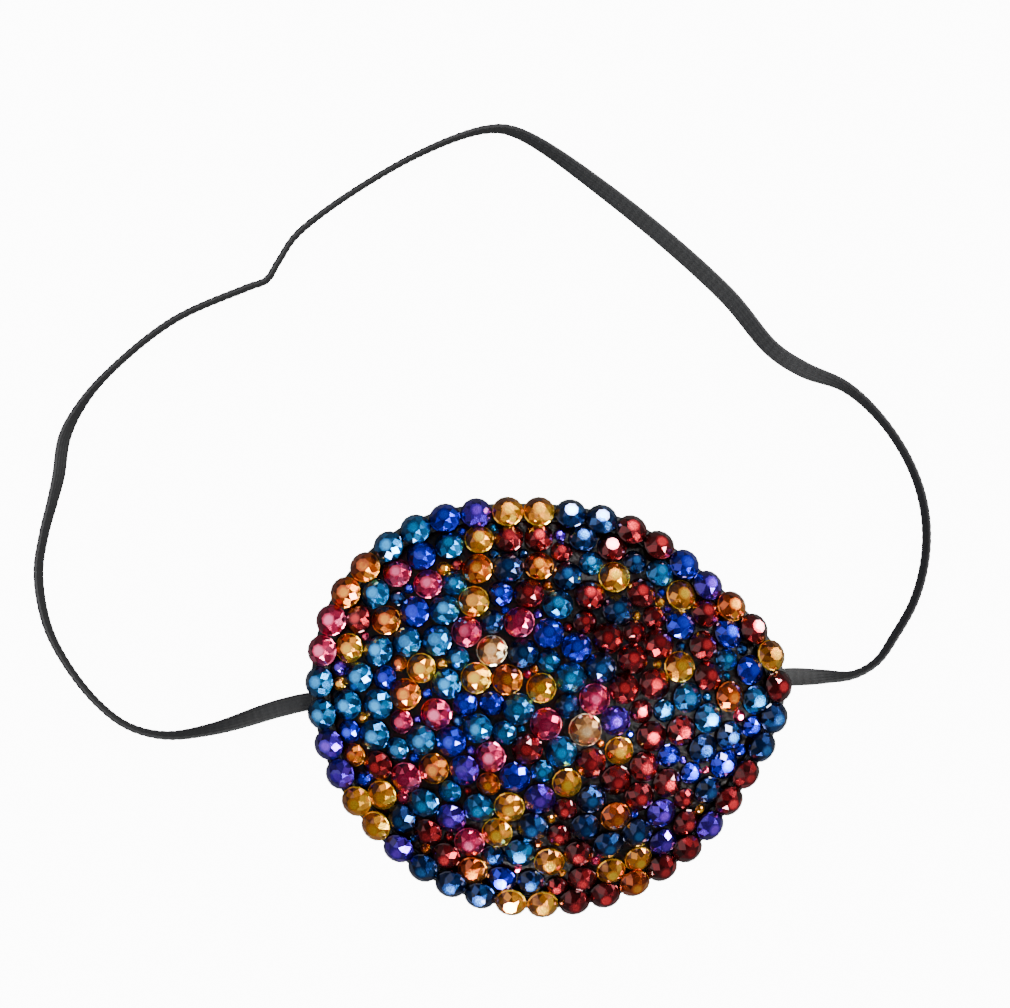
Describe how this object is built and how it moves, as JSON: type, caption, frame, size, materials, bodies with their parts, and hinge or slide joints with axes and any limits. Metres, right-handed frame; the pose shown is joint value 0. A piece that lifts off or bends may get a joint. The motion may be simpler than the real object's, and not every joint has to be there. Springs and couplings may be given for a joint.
{
  "type": "eye patch",
  "caption": "Domed fabric eye patch set all over with faceted glass stones, on a loop of narrow braided elastic",
  "frame": {"origin": "middle of the patch's outline, on the table that its rim rests on, with the elastic left out", "axes": "+Z out of the dome, away from the eye; +X along the patch's long side, towards its narrower end; +Y towards the forehead"},
  "size_m": [0.1482, 0.1302, 0.0139],
  "materials": {
    "cover_fabric": "black satin weave, soft sheen",
    "lining_felt": "black felt, matte",
    "stiffener_foam": "moulded foam sheet",
    "binding_tape": "black bias tape",
    "thread": "black polyester thread",
    "elastic_braid": "black braided elastic, matte",
    "adhesive": "clear glue, glossy",
    "stone_mixed": "foil-backed faceted glass, mirror gloss",
    "stone_teal": "foil-backed faceted glass, mirror gloss",
    "stone_cobalt": "foil-backed faceted glass, mirror gloss",
    "stone_violet": "foil-backed faceted glass, mirror gloss",
    "stone_gold": "foil-backed faceted glass, mirror gloss",
    "stone_orange": "foil-backed faceted glass, mirror gloss",
    "stone_red": "foil-backed faceted glass, mirror gloss",
    "stone_rose": "foil-backed faceted glass, mirror gloss",
    "stone_navy": "foil-backed faceted glass, mirror gloss"
  },
  "bodies": {
    "root": {"back_lining": "lining_felt", "stiffener": "stiffener_foam", "front_cover": "cover_fabric", "edge_binding": "binding_tape", "rim_stitching": "thread", "bar_tack_left": "thread", "bar_tack_right": "thread", "elastic_strap": "elastic_braid", "edge_adhesive": "adhesive", "stone_field": "stone_mixed", "edge_stone_01": "stone_teal", "edge_stone_02": "stone_teal", "edge_stone_03": "stone_cobalt", "edge_stone_04": "stone_violet", "edge_stone_05": "stone_gold", "edge_stone_06": "stone_gold", "edge_stone_07": "stone_navy", "edge_stone_08": "stone_navy", "edge_stone_09": "stone_red", "edge_stone_10": "stone_red", "edge_stone_11": "stone_cobalt", "edge_stone_12": "stone_violet", "edge_stone_13": "stone_orange", "edge_stone_14": "stone_red", "edge_stone_15": "stone_gold", "edge_stone_16": "stone_red", "edge_stone_17": "stone_navy", "edge_stone_18": "stone_navy", "edge_stone_19": "stone_red", "edge_stone_20": "stone_red", "edge_stone_21": "stone_violet", "edge_stone_22": "stone_red", "edge_stone_23": "stone_red", "edge_stone_24": "stone_orange", "edge_stone_25": "stone_red", "edge_stone_26": "stone_red", "edge_stone_27": "stone_gold", "edge_stone_28": "stone_gold", "edge_stone_29": "stone_navy", "edge_stone_30": "stone_navy", "edge_stone_31": "stone_navy", "edge_stone_32": "stone_violet", "edge_stone_33": "stone_gold", "edge_stone_34": "stone_gold", "edge_stone_35": "stone_violet", "edge_stone_36": "stone_violet", "edge_stone_37": "stone_teal", "edge_stone_38": "stone_teal", "edge_stone_39": "stone_rose", "edge_stone_40": "stone_rose", "edge_stone_41": "stone_orange", "edge_stone_42": "stone_orange"}
  },
  "joints": []
}
